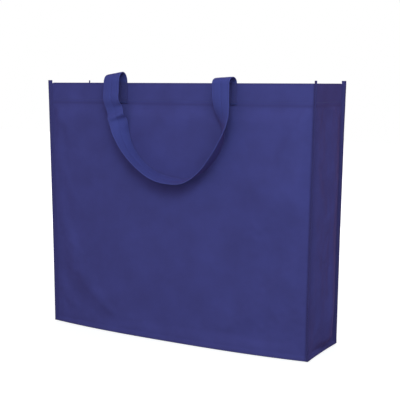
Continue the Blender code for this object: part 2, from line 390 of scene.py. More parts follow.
class SheetMesh:
    """Mesh of a sheet's middle surface, with the cloth's own coordinates, its worn edges and its painted
    shade.
    """

    UV_NAME = "cloth_metres"
    WEAR_AND_SHADE_NAME = "wear"

    def __init__(self) -> None:
        """Start an empty mesh."""
        self.points: list[Triple] = []
        self.places: list[tuple[float, float]] = []
        self.wear: list[float] = []
        self.faces: list[tuple[int, ...]] = []

    def add(self, point: Iterable[float], place: tuple[float, float], wear: float) -> int:
        """Add a point.

        Args:
            point: the point in the bag's frame.
            place: the same point on the flat cloth, in metres.
            wear: how worn the cloth is there, up to 1, or how much painted shade darkens it, down to -1.

        Returns:
            The point's number.
        """
        self.points.append(tuple(float(value) for value in point))
        self.places.append((float(place[0]), float(place[1])))
        self.wear.append(float(wear))
        return len(self.points) - 1

    def join(self, lower: dict[int, int], upper: dict[int, int], mitred: dict[int, bool]) -> None:
        """Fill the faces between two rows, wherever both have the same two columns.

        Args:
            lower: point numbers of the lower row, by column.
            upper: point numbers of the upper row, by column.
            mitred: columns whose face is creased along a mitre, with whether it rises to the right.
        """
        for column in lower:
            after = column + 1
            if not (after in lower and column in upper and after in upper):
                continue
            a, b, c, d = lower[column], lower[after], upper[after], upper[column]
            if column not in mitred:
                self.faces.append((a, b, c, d))
            elif mitred[column]:
                self.faces += [(a, b, c), (a, c, d)]
            else:
                self.faces += [(a, b, d), (b, c, d)]

    def grow(self, below: dict[int, int], rows: list[dict[int, int]]) -> None:
        """Fill the faces from one row through the rows that follow it."""
        for lower, upper in zip([below, *rows], rows):
            self.join(lower, upper, {})

    def build(self, name: str, thickness: float, material: bpy.types.Material) -> bpy.types.Object:
        """Give the sheet its thickness and return it as a plain mesh object.

        Args:
            name: name of the piece.
            thickness: thickness of the cloth, or 0 for a mesh that is already closed.
            material: finish of the piece.

        Returns:
            The piece.
        """
        mesh = bpy.data.meshes.new(name)
        mesh.from_pydata(self.points, [], self.faces)
        laid = mesh.uv_layers.new(name=self.UV_NAME)
        corners = np.empty(len(mesh.loops), dtype=np.int32)
        mesh.loops.foreach_get("vertex_index", corners)
        laid.data.foreach_set("uv", np.array(self.places, dtype=np.float32)[corners].ravel())
        worn = mesh.attributes.new(self.WEAR_AND_SHADE_NAME, "FLOAT", "POINT")
        worn.data.foreach_set("value", np.array(self.wear, dtype=np.float32))
        mesh.materials.append(material)
        mesh.shade_smooth()
        piece = add_object(name, mesh)
        if thickness > 0.0:
            cloth = piece.modifiers.new("cloth", "SOLIDIFY")
            cloth.thickness = thickness
            cloth.offset = 0.0
            cloth.use_even_offset = True
            cloth.use_quality_normals = True
        return plain(piece)


def ease(share: Grid) -> Grid:
    """Rise smoothly from 0 to 1 as a share does."""
    share = np.clip(share, 0.0, 1.0)
    return share * share * (3 - 2 * share)


def cubic_rows(grid: Grid, places: Grid) -> Grid:
    """Read rows of a grid at fractional places, along its first axis, on smooth curves.

    Args:
        grid: the values, by row first.
        places: fractional row numbers.

    Returns:
        The values at the places.
    """
    last = len(grid) - 1
    base = np.clip(np.floor(places).astype(int), 0, last - 1)
    share = (places - base).reshape((-1,) + (1,) * (grid.ndim - 1))
    before, start = grid[np.maximum(base - 1, 0)], grid[base]
    end, after = grid[base + 1], grid[np.minimum(base + 2, last)]
    slope_in, slope_out = (end - before) / 2, (after - start) / 2
    cubic = 2 * (start - end) + slope_in + slope_out
    square = 3 * (end - start) - 2 * slope_in - slope_out
    return ((cubic * share + square) * share + slope_in) * share + start


@dataclass(frozen=True)
class SoftBulge:
    """A soft rise or dip of a wall: where it is, how far it reaches and how far it stands out."""

    across: float
    height: float
    reach_across: float
    reach_up: float
    rise: float
    lean: float = 0.0

    def rise_at(self, across: Grid, height: Grid) -> Grid:
        """Work out the bulge at places on the wall.

        Args:
            across: places across the wall.
            height: their heights.

        Returns:
            How far the wall stands out there.
        """
        aside = (across - self.across - self.lean * (height - self.height)) / self.reach_across
        above = (height - self.height) / self.reach_up
        return self.rise * np.exp(-aside ** 2 - above ** 2)


@dataclass(frozen=True)
class Gathers:
    """Small gathers of the cloth along a seam, whose spacing and height change along it."""

    drift: float
    drift_turns: float
    swell_turns: float
    phase: float = 0.0
    length: float = 0.013
    rise: float = 0.00030
    reach: float = 0.009
    start: float = 0.002

    def rise_at(self, along: Grid, away: Grid) -> Grid:
        """Work out the gathers at places near the seam.

        Args:
            along: places along the seam.
            away: their distances from it.

        Returns:
            How far the wall stands out there.
        """
        turns = math.tau / self.length * along + self.drift * np.sin(self.drift_turns * along)
        wave = np.sin(turns) * np.sin(self.swell_turns * along + self.phase)
        return self.rise * wave * np.exp(-away / self.reach) * np.clip(away / self.start, 0.0, 1.0)


@dataclass(frozen=True)
class HemRoll:
    """Fullness of the cloth just below the stiff hem, more of it towards the right."""

    rise: float = 0.0
    rise_right: float = 0.0
    start: float = 0.012
    end: float = 0.060
    side: float = 0.014
    unevenness: float = 0.25
    turns: tuple[float, float] = (38.0, 15.0)
    phase: float = 1.3

    def rise_at(self, place: Grid, half: Grid, below: Grid) -> Grid:
        """Work out the roll at places on the wall.

        Args:
            place: places across the wall.
            half: half of the wall's width there.
            below: their distances below the hem.

        Returns:
            How far the wall stands out there.
        """
        fade = (1 - np.exp(-(below / self.start) ** 2)) * np.exp(-below / self.end)
        right = np.clip(0.5 + 0.5 * place / half, 0.0, 1.0)
        amount = self.rise + self.rise_right * right ** 3
        waves = np.sin(self.turns[0] * place + self.phase) * np.sin(self.turns[1] * place)
        return amount * (1 + self.unevenness * waves) * ease((half - np.abs(place)) / self.side) * fade


@dataclass
class BagForm:
    """Sizes and rest form of the bag, as the solids have them."""

    cloth: float = 0.0005
    sewn_gap: float = 0.00006
    allowance: float = 0.0055
    hem_depth: float = 0.028
    hem_end_inset: float = 0.003
    tab_rise: float = 0.0035
    flare_power: float = 1.4
    base_bow: dict[Wall, float] = field(default_factory=lambda: {
        Wall.FRONT: 0.012, Wall.BACK: 0.008, Wall.LEFT: -0.001, Wall.RIGHT: -0.001})
    swell: dict[Wall, float] = field(default_factory=lambda: {
        Wall.FRONT: 0.0015, Wall.BACK: 0.003, Wall.LEFT: 0.005, Wall.RIGHT: 0.005})
    fade_power: float = 2.2
    roundness: float = 2.6
    bottom_margin: float = 0.016
    ground_clearance: float = 0.0004
    sway: float = 0.0007
    sway_turns: float = 21.0
    sway_seed: tuple[float, float] = (7.3, 0.4)
    ripple: float = 0.5
    ripple_turns: float = 3.1

    def __post_init__(self) -> None:
        """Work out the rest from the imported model's boxes."""
        self.sheet_offset = (self.sewn_gap + self.cloth) / 2
        self.fold_inset = self.sheet_offset / DIAGONAL
        self.fin_near = (self.allowance - self.sheet_offset) * DIAGONAL
        self.fin_far = (self.allowance + self.sheet_offset) * DIAGONAL
        self.fin_reach = self.fold_inset + self.fin_near
        beyond = self.fin_near + self.cloth / 2 * DIAGONAL
        self.mouth_half_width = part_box(Wall.FRONT.node)[1][0] - beyond
        self.base_half_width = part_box("bottom_panel")[1][0] - beyond
        self.half_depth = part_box(Wall.RIGHT.node)[1][1] - beyond
        self.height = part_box(Wall.FRONT.node)[1][2] - self.tab_rise
        self.seam_height = self.fin_far + self.cloth * DIAGONAL + self.ground_clearance
        self.wall_foot = self.seam_height + self.fold_inset
        self.hem_edge = self.height - self.hem_depth
        self.rim_start = self.height - self.cloth / 2 - self.sheet_offset
        self.face = self.half_depth + self.cloth / 2

    def half_width(self, height: Grid) -> Grid:
        """Half of the bag's width at heights."""
        share = np.clip(np.asarray(height) / self.height, 0.0, 1.0) ** self.flare_power
        return self.base_half_width + (self.mouth_half_width - self.base_half_width) * share

    def span(self, wall: Wall, height: Grid) -> Grid:
        """Half of a wall's width at heights, from seam to seam."""
        return self.half_width(height) if wall.wide else self.half_depth + 0.0 * np.asarray(height)

    def distance(self, wall: Wall, height: Grid) -> Grid:
        """Distance of a wall's seams' plane from the bag's axis at heights."""
        return self.half_depth + 0.0 * np.asarray(height) if wall.wide else self.half_width(height)

    def stand_out(self, wall: Wall, share: Grid, height: Grid) -> Grid:
        """How far a wall stands out from its seams' plane.

        Args:
            wall: the wall.
            share: place across it, from -1 to 1 between its folds.
            height: height above the ground.

        Returns:
            The distance, outwards.
        """
        rise = np.clip((height - self.seam_height) / (self.hem_edge - self.seam_height), 0.0, 1.0)
        fullness = self.base_bow[wall] * (1 - rise) ** self.fade_power
        fullness = fullness + self.swell[wall] * 4 * rise * (1 - rise)
        return fullness * (1 - np.abs(share) ** self.roundness)

    def fin_sway(self, corner: int, height: float) -> float:
        """How far the free edge of a corner's fin sways from its plane at a height."""
        seed = Vector((height * self.sway_turns, corner * self.sway_seed[0], self.sway_seed[1]))
        return self.sway * (noise.noise(seed) + self.ripple * noise.noise(seed * self.ripple_turns))


@dataclass
class ClothWall:
    """One wall of the bag: its sheet, settled as cloth between its seams, with fins and hem."""

    form: BagForm
    wall: Wall
    finish: ClothFinish
    bulges: tuple[SoftBulge, ...] = ()
    roll: HemRoll = HemRoll()
    side_gathers: Gathers = Gathers(drift=2.1, drift_turns=31.0, swell_turns=17.0)
    foot_gathers: Gathers = Gathers(drift=1.7, drift_turns=23.0, swell_turns=19.0, phase=math.pi / 2)
    gathers_below_hem: float = 0.01
    columns: int = 120
    rows: int = 104
    hem_rows: int = 8
    coarse: int = 2
    fin_steps: int = 2
    fold_steps: int = 6
    tab_steps: int = 2
    held_reach: tuple[float, float] = (0.012, 0.020)
    hem_hold: float = 2.5

    def __post_init__(self) -> None:
        """Lay out the rows and columns."""
        form = self.form
        foot, edge, rim = form.wall_foot, form.hem_edge, form.rim_start
        body = foot + (edge - foot) * np.arange(self.rows + 1) / self.rows
        hem = edge + (rim - edge) * np.arange(1, self.hem_rows + 1) / self.hem_rows
        self.heights = np.concatenate([body, hem])
        span = form.base_half_width if self.wall.wide else form.half_depth
        end = 1 - (form.hem_end_inset - form.fold_inset) / (span - form.fold_inset)
        inner = end * (2 * np.arange(self.columns + 1) / self.columns - 1)
        self.shares = np.concatenate([[-1.0], inner, [1.0]])
        self.settled = np.zeros((len(self.heights), len(self.shares), 3))

    def rest(self) -> Grid:
        """Middle surface between the folds before it settles, facing -Y.

        Returns:
            Points by row and column.
        """
        form = self.form
        height, share = self.heights[:, None], self.shares[None, :]
        half = form.span(self.wall, height) - form.fold_inset
        place = half * share
        aside, below, above = self._margins(place, height)
        free = self._freedom(place, height)
        out = form.distance(self.wall, height) + form.stand_out(self.wall, share, height)
        for bulge in self.bulges:
            out = out + bulge.rise_at(place, height) * free
        open_cloth = np.clip(below / self.gathers_below_hem, 0.0, 1.0)
        out = out + self.side_gathers.rise_at(height, aside) * open_cloth
        out = out + self.foot_gathers.rise_at(place, above) + self.roll.rise_at(place, half, below)
        return np.stack([place, -out, height + 0.0 * place], axis=-1)

    def _margins(self, place: Grid, height: Grid) -> list[Grid]:
        """Measure how far places are from the wall's edges.

        Args:
            place: places across the wall.
            height: their heights.

        Returns:
            Their distances from the side folds, below the hem and above the foot.
        """
        half = self.form.span(self.wall, height) - self.form.fold_inset
        gaps = (half - np.abs(place), self.form.hem_edge - height, height - self.form.wall_foot)
        return [np.clip(gap, 0.0, None) for gap in gaps]

    def _freedom(self, place: Grid, height: Grid) -> Grid:
        """Work out how freely the cloth may move.

        Args:
            place: places across the wall.
            height: their heights.

        Returns:
            Shares from 0 at the seams and in the hem to 1 in the open.
        """
        aside, below, above = self._margins(place, height)
        near = np.minimum(np.minimum(aside, below * self.hem_hold), above)
        return ease(near / self.held_reach[self.wall.wide])

    def coarse_points(self) -> tuple[Grid, Grid]:
        """Fewer points of the rest form, for the cloth to settle on.

        Returns:
            The points by row and column, and whether each one is held by a seam or the hem.
        """
        rows = np.arange(0, len(self.heights), self.coarse)
        columns = np.arange(0, len(self.shares), self.coarse)
        points = self.rest()[rows][:, columns]
        held = np.zeros(points.shape[:2], dtype=bool)
        held[0] = held[:, 0] = held[:, -1] = True
        held[self.heights[rows] >= self.form.hem_edge - TINY] = True
        return points, held

    def take_settled(self, moved: Grid, cap: float) -> None:
        """Keep how far the coarse points moved, read smoothly at every fine point.

        Args:
            moved: movement of each coarse point, facing -Y.
            cap: the furthest that a point may move.
        """
        length = np.linalg.norm(moved, axis=-1, keepdims=True)
        moved = moved * (cap * np.tanh(length / cap) / np.maximum(length, STILL))
        rows = np.clip(np.arange(len(self.heights)) / self.coarse, 0, moved.shape[0] - 1)
        columns = np.clip(np.arange(len(self.shares)) / self.coarse, 0, moved.shape[1] - 1)
        fine = cubic_rows(cubic_rows(moved, rows).swapaxes(0, 1), columns).swapaxes(0, 1)
        base = self.rest()
        self.settled = fine * self._freedom(base[..., 0], base[..., 2])[..., None]

    def _patch(self, across: float, height: float) -> tuple[Grid, Grid]:
        """Find a place on the settled surface.

        Args:
            across: place across the wall, in metres from its middle.
            height: height above the ground.

        Returns:
            The four points of the surface round the place, and the place's own point.
        """
        fold = float(self.form.span(self.wall, height)) - self.form.fold_inset
        column = float(np.interp(across / fold, self.shares, np.arange(len(self.shares))))
        row = float(np.interp(height, self.heights, np.arange(len(self.heights))))
        first_row = min(int(row), len(self.heights) - 2)
        first_column = min(int(column), len(self.shares) - 2)
        part_row, part_column = row - first_row, column - first_column
        patch = self._surface[first_row:first_row + 2, first_column:first_column + 2]
        sides = patch[:, 0] * (1 - part_column) + patch[:, 1] * part_column
        return patch, sides[0] * (1 - part_row) + sides[1] * part_row

    def outward_at(self, across: float, height: float) -> float:
        """Distance of the cloth's middle from the bag's axis at a place on the wall."""
        return -float(self._patch(across, height)[1][1])

    def point(self, across: float, height: float, lift: float) -> tuple[Vector, Vector]:
        """A point on the wall's surface and the outward direction there.

        Args:
            across: place across the wall, in metres from its middle.
            height: height above the ground.
            lift: distance of the point outwards from the middle of the cloth.

        Returns:
            The point and the direction, in the bag's frame.
        """
        patch, middle = self._patch(across, height)
        along = patch[:, 1].mean(axis=0) - patch[:, 0].mean(axis=0)
        up = patch[1].mean(axis=0) - patch[0].mean(axis=0)
        out = Vector(np.cross(along, up)).normalized()
        return self.wall.spin @ (Vector(middle) + out * lift), self.wall.spin @ out

    def build(self) -> bpy.types.Object:
        """Build the wall's sheet with its fins, corner tabs and hem.

        Returns:
            The piece.
        """
        form, steps, rim = self.form, self.fin_steps, len(self.heights) - 1
        self._surface = self.rest() + self.settled
        self._sheet = SheetMesh()
        last = len(self.shares) + 2 * steps - 1
        hemmed = range(steps + 1, last - steps)
        fins = [*range(steps + 1), *range(last - steps, last + 1)]

        rows = [self._row(0, drop / steps) for drop in range(steps, 0, -1)]
        rows += [self._row(row) for row in range(rim + 1)]
        for index, (lower, upper) in enumerate(zip(rows, rows[1:])):
            mitred = {index: True, last - 1 - index: False} if index < steps else {}
            self._sheet.join(lower, upper, mitred)

        tab = form.height + form.tab_rise - form.rim_start
        tabs = [self._row(rim, rise=tab * step / self.tab_steps, chosen=fins)
                for step in range(1, self.tab_steps + 1)]
        self._sheet.grow({column: rows[-1][column] for column in fins}, tabs)

        offset = form.sheet_offset
        turns = [math.pi * step / self.fold_steps for step in range(1, self.fold_steps + 1)]
        hem = [self._row(rim, 0.0, offset * math.sin(turn), offset * (1 - math.cos(turn)), turn, hemmed)
               for turn in turns]
        hem += [self._row(row, 0.0, 0.0, 2 * offset, math.pi, hemmed)
                for row in range(rim - 1, self.rows - 1, -1)]
        self._sheet.grow({column: rows[-1][column] for column in hemmed}, hem)

        piece = self._sheet.build(f"{self.wall.node}_cloth", form.cloth, self.finish.material())
        declare(piece, self.finish.slot, self.wall.node)
        return piece

    def _row(self, row: int, drop: float = 0.0, rise: float = 0.0, inward: float = 0.0,
             folded: float = 0.0, chosen: Iterable[int] | None = None) -> dict[int, int]:
        """Add a row of points, with its fins.

        Args:
            row: row of the settled surface.
            drop: share of the way down the foot's fin.
            rise: distance above the row.
            inward: distance inwards from the row.
            folded: how far round the rim's fold the row is, in radians.
            chosen: columns that the row has, or None for all.

        Returns:
            Point numbers by column.
        """
        form, steps, surface, height = self.form, self.fin_steps, self._surface[row], self.heights[row]
        last = len(surface) + 2 * steps - 1
        lining = folded >= math.pi
        over = form.sheet_offset * folded + (form.rim_start - height if lining else 0.0)
        up = form.rim_start + over if folded else height + rise - drop * form.allowance
        at_hem = row in (self.rows, len(self.heights) - 1) and not (drop or lining)
        points: dict[int, int] = {}
        for column in range(last + 1) if chosen is None else chosen:
            level = max(steps - column, column - (last - steps), 0) / steps
            side = -1.0 if column < steps else 1.0
            x, y, z = surface[min(max(column - steps, 0), len(surface) - 1)]
            x += side * level * form.fin_reach
            y += inward - max(level, drop) * form.fin_far
            z += rise - drop * form.fin_reach
            if level:
                corner = self.wall.corner if side > 0 else (self.wall.corner - 1) % len(Wall)
                sway = form.fin_sway(corner, z) * level * DIAGONAL * (1 - drop)
                x += sway
                y += side * sway
            # painted shade on the folds, the fins, the hem's edges and the foot
            if column in (steps, last - steps):
                edge = SeamShade.FOLD
            elif level:
                edge = SeamShade.FIN
            elif at_hem:
                edge = SeamShade.HEM
            else:
                edge = SeamShade.FOOT if drop else SeamShade.NOWHERE
            place = (x + side * level * form.allowance, up)
            points[column] = self._sheet.add(self.wall.spin @ Vector((x, y, z)), place, edge)
        return points


@dataclass
class SewnShell:
    """The walls together, settled once as cloth that is held along its seams and its hem."""

    walls: list[ClothWall]
    spare_cloth: float = 0.0018
    frames: int = 22
    cap: float = 0.0022
    unevenness: float = 0.0006
    unevenness_turns: float = 24.0

    SEWN = "sewn"
    SETTINGS = {
        "quality": 6, "mass": 0.08, "tension_stiffness": 30.0, "compression_stiffness": 30.0,
        "shear_stiffness": 12.0, "bending_stiffness": 2.2, "tension_damping": 12.0,
        "compression_damping": 12.0, "bending_damping": 2.0, "air_damping": 3.0,
    }

    def settle(self) -> None:
        """Run the cloth simulation and hand each wall its movement."""
        points: list[Vector] = []
        faces: list[tuple[int, ...]] = []
        held: list[int] = []
        starts = []
        worlds = []
        for wall in self.walls:
            rest, fixed = wall.coarse_points()
            starts.append(len(points))
            worlds.append(rest @ np.array(wall.wall.spin).T)
            out = wall.wall.spin @ Vector((0.0, -1.0, 0.0))
            width = fixed.shape[1]
            for (row, column), sewn in np.ndenumerate(fixed):
                spot = Vector(worlds[-1][row, column])
                if sewn:
                    held.append(len(points))
                else:
                    spot += out * self.unevenness * noise.noise(spot * self.unevenness_turns)
                if row and column:
                    here = len(points)
                    faces.append((here - width - 1, here - width, here, here - 1))
                points.append(spot)
        mesh = bpy.data.meshes.new("settling")
        mesh.from_pydata(points, [], faces)
        cloth = add_object("settling", mesh)
        cloth.vertex_groups.new(name=self.SEWN).add(held, 1.0, "REPLACE")
        moved = self._simulate(cloth)
        for wall, start, world in zip(self.walls, starts, worlds):
            count = world.shape[0] * world.shape[1]
            shift = moved[start:start + count].reshape(world.shape) - world
            wall.take_settled(shift @ np.array(wall.wall.spin), self.cap)
        bpy.data.objects.remove(cloth, do_unlink=True)
        bpy.data.meshes.remove(mesh)
        bpy.context.scene.frame_set(1)

    def _simulate(self, cloth: bpy.types.Object) -> Grid:
        """Give the settling mesh its cloth and step the scene through the frames.

        Args:
            cloth: the settling mesh's object.

        Returns:
            The points as they come to rest.
        """
        modifier = cloth.modifiers.new("cloth", "CLOTH")
        for name, value in self.SETTINGS.items():
            setattr(modifier.settings, name, value)
        modifier.settings.vertex_group_mass = self.SEWN
        modifier.settings.shrink_min = -self.spare_cloth
        modifier.collision_settings.use_collision = False
        modifier.collision_settings.use_self_collision = False
        modifier.point_cache.frame_start = 1
        modifier.point_cache.frame_end = self.frames
        for step in range(1, self.frames + 1):
            bpy.context.scene.frame_set(step)
        final = cloth.evaluated_get(bpy.context.evaluated_depsgraph_get()).data
        settled = np.empty(len(final.vertices) * 3, dtype=np.float32)
        final.vertices.foreach_get("co", settled)
        return settled.reshape(-1, 3).astype(float)


@dataclass
class BagBottom:
    """The bottom panel: flat on the ground, rising at its margins to the seams, with fins."""

    form: BagForm
    finish: ClothFinish
    columns: int = 120
    lines: int = 30
    fin_steps: int = 2
    lump: float = 0.0008
    lump_turns: float = 30.0
    lump_seed: float = 3.7

    def build(self) -> bpy.types.Object:
        """Build the bottom's sheet.

        Returns:
            The piece.
        """
        form, steps = self.form, self.fin_steps
        sheet = SheetMesh()
        last_x = self.columns + 2 * steps
        last_y = self.lines + 2 * steps
        rows = [{column: self._add(sheet, column, line) for column in range(last_x + 1)}
                for line in range(last_y + 1)]
        for index, (lower, upper) in enumerate(zip(rows, rows[1:])):
            mitred = {}
            if index < steps:
                mitred = {index: True, last_x - 1 - index: False}
            elif index >= last_y - steps:
                level = last_y - 1 - index
                mitred = {level: False, last_x - 1 - level: True}
            sheet.join(lower, upper, mitred)
        piece = sheet.build("bottom_panel_cloth", form.cloth, self.finish.material())
        declare(piece, self.finish.slot, "bottom_panel")
        return piece

    def _place(self, number: int, count: int) -> tuple[float, float]:
        """Work out where a column or line lies.

        Args:
            number: its number, with the fins' own.
            count: number of steps between the folds.

        Returns:
            Its share from -1 to 1 between the folds, and how far out it is on a fin, from 0 to 1.
        """
        steps = self.fin_steps
        share = 2 * min(max(number - steps, 0), count) / count - 1
        return share, max(steps - number, number - (count + steps), 0) / steps

    def _add(self, sheet: SheetMesh, column: int, line: int) -> int:
        """Add one point of the bottom.

        Args:
            sheet: the bottom's mesh.
            column: its column.
            line: its line.

        Returns:
            The point's number.
        """
        form = self.form
        share_x, level_x = self._place(column, self.columns)
        share_y, level_y = self._place(line, self.lines)
        fold_x = form.base_half_width - form.fold_inset
        fold_y = form.half_depth - form.fold_inset
        bow_x = form.base_bow[Wall.LEFT if share_x < 0 else Wall.RIGHT]
        bow_y = form.base_bow[Wall.FRONT if share_y < 0 else Wall.BACK]
        x = share_x * (fold_x + bow_x * (1 - abs(share_y) ** form.roundness))
        y = share_y * (fold_y + bow_y * (1 - abs(share_x) ** form.roundness))
        x += math.copysign(level_x * form.fin_reach, share_x)
        y += math.copysign(level_y * form.fin_reach, share_y)
        level = max(level_x, level_y)
        inset = min((1 - abs(share_x)) * fold_x, (1 - abs(share_y)) * fold_y)
        climb = 1 - min(inset / form.bottom_margin, 1.0)
        z = form.cloth / 2 + (form.seam_height - form.cloth / 2) * climb ** 2 - level * form.fin_far
        if not level:
            seed = Vector((x * self.lump_turns, y * self.lump_turns, self.lump_seed))
            z += self.lump * (0.5 + 0.5 * noise.noise(seed)) * climb * (1 - climb)
        # painted shade on the fins and round the edge of the bottom
        edge = SeamShade.FOOT if level or inset < TINY else SeamShade.NOWHERE
        return sheet.add((x, y, z), (x, y), edge)


@dataclass
class StrapLeg:
    """One side of a strap: how high its arch stands over the mouth, and how the arch leans."""

    rise: float
    lean: float = 0.0


@dataclass(frozen=True)
class StrapCrease:
    """A crease across a hanging strap: the side of the loop, its height, reach and depth.

    The bias moves the crease towards the strap's inner edge, from 0 for an even one to 1.
    """

    side: float
    height: float
    reach: float
    depth: float
    bias: float = 0.0
    lean: float = 0.0

    def depth_at(self, place: float, height: float, share: float) -> float:
        """Work out the crease at a place on the strap.

        Args:
            place: place across the bag.
            height: height above the ground.
            share: place across the strap, from -1 to 1.

        Returns:
            How deep the crease is there.
        """
        if place * self.side < 0.0:
            return 0.0
        away = (height - self.height - self.lean * share) / self.reach
        return self.depth * math.exp(-away * away) * (1.0 - self.bias * (0.5 - 0.5 * share))


@dataclass
class StrapHandle:
    """A strap of folded cloth: sewn to the hem at both ends, arched over and hanging in a loop."""

    form: BagForm
    wall: ClothWall
    node: str
    finish: ClothFinish
    stand: float
    crest_start: float
    legs: tuple[StrapLeg, StrapLeg]
    drop: float
    loop: tuple[tuple[float, float, float, float], ...]
    creases: tuple[StrapCrease, ...] = ()
    reach: float = 0.0845
    width: float = 0.025
    thickness: float = 0.0014
    end_clearance: float = 0.0005
    loop_clearance: float = 0.0024
    wall_clearance: float = 0.0010
    sewn_steps: int = 10
    arch_steps: int = 14
    loop_steps: int = 12
    seam_inset: float = 0.0026
    seam_reach: float = 0.0008
    seam_dent: float = 0.00016
    groove: float = 0.00045
    groove_reach: float = 0.0005
    crown: float = 0.00012
    # painted shade on the sewn ends, which lie in the shadow of the arch
    sewn_end_shade: float = 0.9
    worn_reach: float = 0.0008
    flat_places: tuple[float, ...] = (0.0, 0.0006, 0.0022, 0.0050, 0.0080)
    seam_place: float = 0.0009
    fold_place: float = 0.0007
    fold_round: float = 0.0002
    fold_share: float = 0.75
    fold_reach: float = 0.0012
    fold_thinning: float = 0.22
    box_low: float = 0.0025
    box_high: float = 0.0035

    # Strokes of a box with its cross, between corners: left low, left high, right low, right high
    BOX_STROKES = ((0, 2), (1, 3), (0, 3), (1, 2), (0, 1), (2, 3))

    def __post_init__(self) -> None:
        """Work out the strap's stations."""
        self.sewn = self.form.face + self.form.sewn_gap + self.thickness / 2
        self.edge_on_stand = self.width / 2 + self.loop_clearance
        self.stations = self._stations()
        self._clear_wall()
        self.frames = [self._frame(index) for index in range(len(self.stations))]

    def _leg(self, side: float, leg: StrapLeg) -> list[tuple[float, ...]]:
        """Lay out the sewn end and the arch of the strap.

        Args:
            side: -1 for the left leg or 1 for the right one.
            leg: the leg.

        Returns:
            Stations from the cut end to where the loop begins.
        """
        reach = side * self.reach
        end = self.form.hem_edge + self.end_clearance
        base = self.form.height + self.crest_start
        stations = [(reach, self.sewn, end + (base - end) * step / self.sewn_steps, 0.0, 0.0)
                    for step in range(self.sewn_steps)]
        for step in range(self.arch_steps + 1):
            angle = math.pi * step / self.arch_steps
            away = self.sewn + self.stand / 2 * (1 - math.cos(angle))
            stations.append((reach, away, base + leg.rise * math.sin(angle), 0.0, leg.lean * math.sin(angle)))
        return stations

    def _stations(self) -> list[tuple[float, ...]]:
        """Lay out the strap from one sewn end to the other.

        Returns:
            Stations: place across, distance away, height, turn and lean.
        """
        left = self._leg(-1.0, self.legs[0])
        right = self._leg(1.0, self.legs[1])[::-1]
        hanging = [
            (across * self.reach, self.sewn + away * self.edge_on_stand,
             self.form.height - fall * self.drop, math.radians(turn), 0.0)
            for across, fall, away, turn in self.loop
        ]
        route = np.array([left[-1], *hanging, right[0]])
        self.leg_stations = len(left)
        places = np.arange(1, (len(route) - 1) * self.loop_steps) / self.loop_steps
        return left + [tuple(float(value) for value in row) for row in cubic_rows(route, places)] + right

    def _clear_wall(self) -> None:
        """Move the loop outwards wherever the settled wall would come too near to it."""
        pushes = []
        for index, station in enumerate(self.stations):
            middle, width, outward = self._frame(index)
            push = 0.0
            for share in (-0.5, 0.0, 0.5) if station[2] < self.form.hem_edge else ():
                for face in (-0.5, 0.5):
                    spot = middle + width * share * self.width + outward * face * self.thickness
                    wall = self.wall.outward_at(spot.x, spot.z) + self.form.cloth / 2
                    push = max(push, wall + self.wall_clearance + spot.y)
            pushes.append(push)
        near = [slice(max(index - self.loop_steps, 0), index + self.loop_steps + 1)
                for index in range(len(pushes))]
        spread = [max(pushes[span]) for span in near]
        for index, (across, away, *rest) in enumerate(self.stations):
            around = spread[near[index]]
            self.stations[index] = (across, away + sum(around) / len(around), *rest)

    def _frame(self, index: int) -> tuple[Vector, Vector, Vector]:
        """Work out how the strap lies at a station.

        Args:
            index: the station's number.

        Returns:
            Its middle, the direction of its width and the direction out of its outer face.
        """
        across, away, height, turn, lean = self.stations[index]
        ahead = self.stations[min(index + 1, len(self.stations) - 1)]
        behind = self.stations[max(index - 1, 0)]
        along = Vector((ahead[0] - behind[0], behind[1] - ahead[1], ahead[2] - behind[2])).normalized()
        inward = Vector((-along.z, 0.0, along.x)).normalized()
        if abs(along.x) < TINY:
            inward = Vector((math.copysign(1.0, -across), 0.0, 0.0))
        width = inward * math.cos(turn) + Vector((0.0, math.sin(turn), lean))
        width = (width - along * width.dot(along)).normalized()
        return Vector((across, -away, height)), width, width.cross(along)

    def _section(self) -> list[tuple[float, float, float, float]]:
        """Lay out the strap's section, round from the groove in its inner face.

        The groove is where the two folded edges of the cloth meet.

        Returns:
            Points of the section: across, through, place on the cloth, and wear.
        """
        half, face = self.width / 2, self.thickness / 2
        seam = half - self.seam_inset
        places = (*self.flat_places, seam - self.seam_place, seam, seam + self.seam_place,
                  half - self.fold_place)
        right = [(u, -face + self._relief(u, True)) for u in places]
        fold = half - self.fold_round
        right += [(fold, -face * self.fold_share), (half, 0.0), (fold, face * self.fold_share)]
        right += [(u, face - self._relief(u, False)) for u in reversed(places)]
        ring = right + [(-u, v) for u, v in reversed(right[1:-1])]
        round_cloth = 0.0
        before = ring[0]
        section = []
        for u, v in ring:
            round_cloth += math.hypot(u - before[0], v - before[1])
            section.append((u, v, round_cloth, 1.0 if abs(u) > half - self.worn_reach else 0.0))
            before = (u, v)
        return section

    def _relief(self, across: float, grooved: bool) -> float:
        """Work out how deep the strap's surface lies below its full thickness.

        Args:
            across: distance from the middle of the strap.
            grooved: whether this is the face with the groove.

        Returns:
            The depth.
        """
        half = self.width / 2
        seam = math.exp(-((half - self.seam_inset - across) / self.seam_reach) ** 2) * self.seam_dent
        near_fold = max(0.0, 1 - (half - across) / self.fold_reach)
        edge = self.thickness * self.fold_thinning * near_fold ** 2
        slit = self.groove * math.exp(-(across / self.groove_reach) ** 2) if grooved else 0.0
        return seam + edge + self.crown * (across / half) ** 2 + slit

    def _dent(self, index: int, across: float) -> float:
        """Work out how far the creases dent the strap towards the bag.

        Args:
            index: the station's number.
            across: distance from the middle of the strap.

        Returns:
            The depth.
        """
        if not self.leg_stations <= index < len(self.frames) - self.leg_stations:
            return 0.0
        place, _, height, *_ = self.stations[index]
        share = across / (self.width / 2)
        return sum(crease.depth_at(place, height, share) for crease in self.creases)

